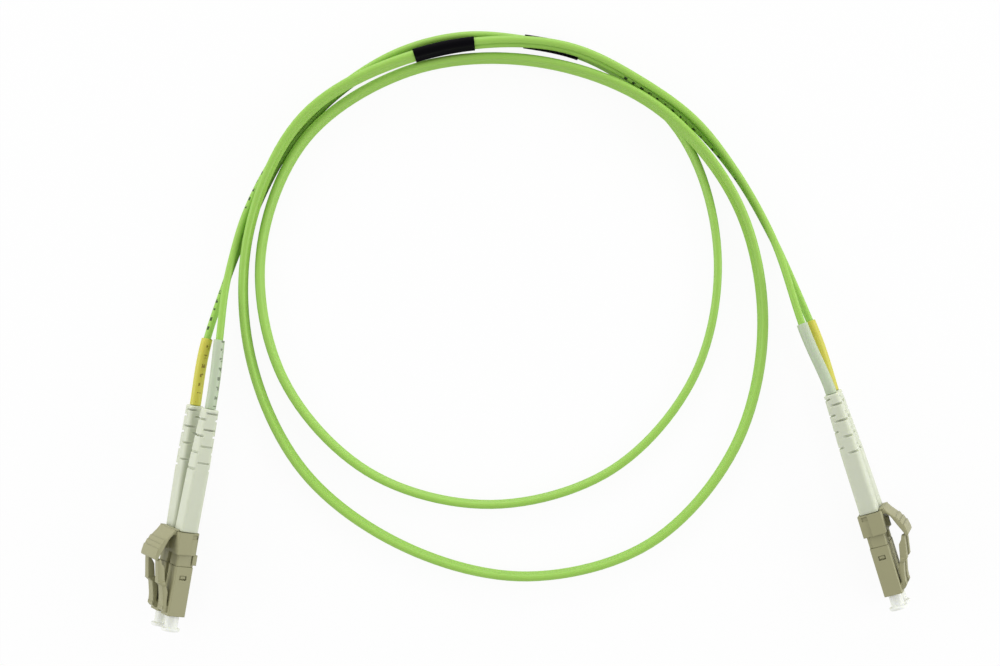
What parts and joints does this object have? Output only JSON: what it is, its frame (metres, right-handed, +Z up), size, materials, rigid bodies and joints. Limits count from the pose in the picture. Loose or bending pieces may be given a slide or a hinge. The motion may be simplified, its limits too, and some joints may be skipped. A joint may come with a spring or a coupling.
{
  "type": "fiber optic patch cord",
  "caption": "Duplex zip-cord fibre patch cord in two loose turns, with clipped pairs of latching plugs, bend boots, marker sleeves and dust caps at both ends.",
  "frame": {"origin": "On the table, at the middle of the box round both clipped plug pairs.", "axes": "+X runs from the left plug pair to the right one, +Y from the plugs towards the loops of the cord, +Z up from the table."},
  "size_m": [0.1864, 0.1448, 0.0142],
  "materials": {
    "plug_body": "satin",
    "boot": "matte",
    "cap": "satin",
    "jacket": "satin",
    "sleeve_yellow": "satin",
    "sleeve_white": "satin",
    "band": "satin",
    "ceramic": "polished",
    "steel": "satin",
    "crimp_metal": "satin",
    "buffer": "satin"
  },
  "bodies": {
    "root": {"left_a_housing": "plug_body", "left_a_rear_body": "plug_body", "left_a_crimp_sleeve": "crimp_metal", "left_a_spring": "steel", "left_a_boot": "boot", "left_a_id_sleeve": "sleeve_yellow", "left_b_housing": "plug_body", "left_b_rear_body": "plug_body", "left_b_crimp_sleeve": "crimp_metal", "left_b_spring": "steel", "left_b_boot": "boot", "left_b_id_sleeve": "sleeve_white", "left_clip": "plug_body", "right_a_housing": "plug_body", "right_a_rear_body": "plug_body", "right_a_crimp_sleeve": "crimp_metal", "right_a_spring": "steel", "right_a_boot": "boot", "right_a_id_sleeve": "sleeve_yellow", "right_b_housing": "plug_body", "right_b_rear_body": "plug_body", "right_b_crimp_sleeve": "crimp_metal", "right_b_spring": "steel", "right_b_boot": "boot", "right_b_id_sleeve": "sleeve_white", "right_clip": "plug_body", "leg_a": "jacket", "leg_b": "jacket", "zip_web": "jacket", "band_left": "band", "band_right": "band"},
    "left_trigger": {"left_trigger": "plug_body"},
    "left_a_latch": {"left_a_latch": "plug_body"},
    "left_a_ferrule_unit": {"left_a_ferrule": "ceramic", "left_a_ferrule_flange": "steel", "left_a_fibre": "buffer"},
    "left_a_dust_cap": {"left_a_dust_cap": "cap"},
    "left_b_latch": {"left_b_latch": "plug_body"},
    "left_b_ferrule_unit": {"left_b_ferrule": "ceramic", "left_b_ferrule_flange": "steel", "left_b_fibre": "buffer"},
    "left_b_dust_cap": {"left_b_dust_cap": "cap"},
    "right_trigger": {"right_trigger": "plug_body"},
    "right_a_latch": {"right_a_latch": "plug_body"},
    "right_a_ferrule_unit": {"right_a_ferrule": "ceramic", "right_a_ferrule_flange": "steel", "right_a_fibre": "buffer"},
    "right_a_dust_cap": {"right_a_dust_cap": "cap"},
    "right_b_latch": {"right_b_latch": "plug_body"},
    "right_b_ferrule_unit": {"right_b_ferrule": "ceramic", "right_b_ferrule_flange": "steel", "right_b_fibre": "buffer"},
    "right_b_dust_cap": {"right_b_dust_cap": "cap"}
  },
  "joints": [
    {"name": "left_trigger_hinge", "type": "hinge", "parent": "root", "child": "left_trigger", "pos_m": [-0.08618, -0.00476, 0.00834], "axis": [0.5223, -0.0893, 0.848], "range_deg": [0, 10], "stiffness_Nm_per_rad": 0.1},
    {"name": "left_a_latch_hinge", "type": "hinge", "parent": "root", "child": "left_a_latch", "pos_m": [-0.09025, -0.02223, 0.00532], "axis": [0.5223, -0.0893, 0.848], "range_deg": [-6.2, 0]},
    {"name": "left_a_ferrule_slide", "type": "slide", "parent": "root", "child": "left_a_ferrule_unit", "axis": [0.1685, 0.9857, 0], "range_m": [0, 0.0008], "stiffness_N_per_m": 1000, "deforming": ["left_a_spring"]},
    {"name": "left_a_cap_slide", "type": "slide", "parent": "root", "child": "left_a_dust_cap", "axis": [-0.1685, -0.9857, 0], "range_m": [0, 0.008]},
    {"name": "left_b_latch_hinge", "type": "hinge", "parent": "root", "child": "left_b_latch", "pos_m": [-0.08698, -0.02278, 0.01062], "axis": [0.5223, -0.0893, 0.848], "range_deg": [-6.2, 0]},
    {"name": "left_b_ferrule_slide", "type": "slide", "parent": "root", "child": "left_b_ferrule_unit", "axis": [0.1685, 0.9857, 0], "range_m": [0, 0.0008], "stiffness_N_per_m": 1000, "deforming": ["left_b_spring"]},
    {"name": "left_b_cap_slide", "type": "slide", "parent": "root", "child": "left_b_dust_cap", "axis": [-0.1685, -0.9857, 0], "range_m": [0, 0.008]},
    {"name": "right_trigger_hinge", "type": "hinge", "parent": "root", "child": "right_trigger", "pos_m": [0.08658, 0.00033, 0.00724], "axis": [0.2793, 0.0865, -0.9563], "range_deg": [0, 10], "stiffness_Nm_per_rad": 0.1},
    {"name": "right_a_latch_hinge", "type": "hinge", "parent": "root", "child": "right_a_latch", "pos_m": [0.09211, -0.01669, 0.00404], "axis": [0.2793, 0.0865, -0.9563], "range_deg": [-6.2, 0]},
    {"name": "right_a_ferrule_slide", "type": "slide", "parent": "root", "child": "right_a_ferrule_unit", "axis": [-0.2957, 0.9553, 0], "range_m": [0, 0.0008], "stiffness_N_per_m": 1000, "deforming": ["right_a_spring"]},
    {"name": "right_a_cap_slide", "type": "slide", "parent": "root", "child": "right_a_dust_cap", "axis": [0.2957, -0.9553, 0], "range_m": [0, 0.008]},
    {"name": "right_b_latch_hinge", "type": "hinge", "parent": "root", "child": "right_b_latch", "pos_m": [0.09037, -0.01723, 0.01002], "axis": [0.2793, 0.0865, -0.9563], "range_deg": [-6.2, 0]},
    {"name": "right_b_ferrule_slide", "type": "slide", "parent": "root", "child": "right_b_ferrule_unit", "axis": [-0.2957, 0.9553, 0], "range_m": [0, 0.0008], "stiffness_N_per_m": 1000, "deforming": ["right_b_spring"]},
    {"name": "right_b_cap_slide", "type": "slide", "parent": "root", "child": "right_b_dust_cap", "axis": [0.2957, -0.9553, 0], "range_m": [0, 0.008]}
  ],
  "couplings": [
    {"joint": "left_a_latch_hinge", "follows": "left_trigger_hinge", "ratio": -0.62},
    {"joint": "left_b_latch_hinge", "follows": "left_trigger_hinge", "ratio": -0.62},
    {"joint": "right_a_latch_hinge", "follows": "right_trigger_hinge", "ratio": -0.62},
    {"joint": "right_b_latch_hinge", "follows": "right_trigger_hinge", "ratio": -0.62}
  ]
}
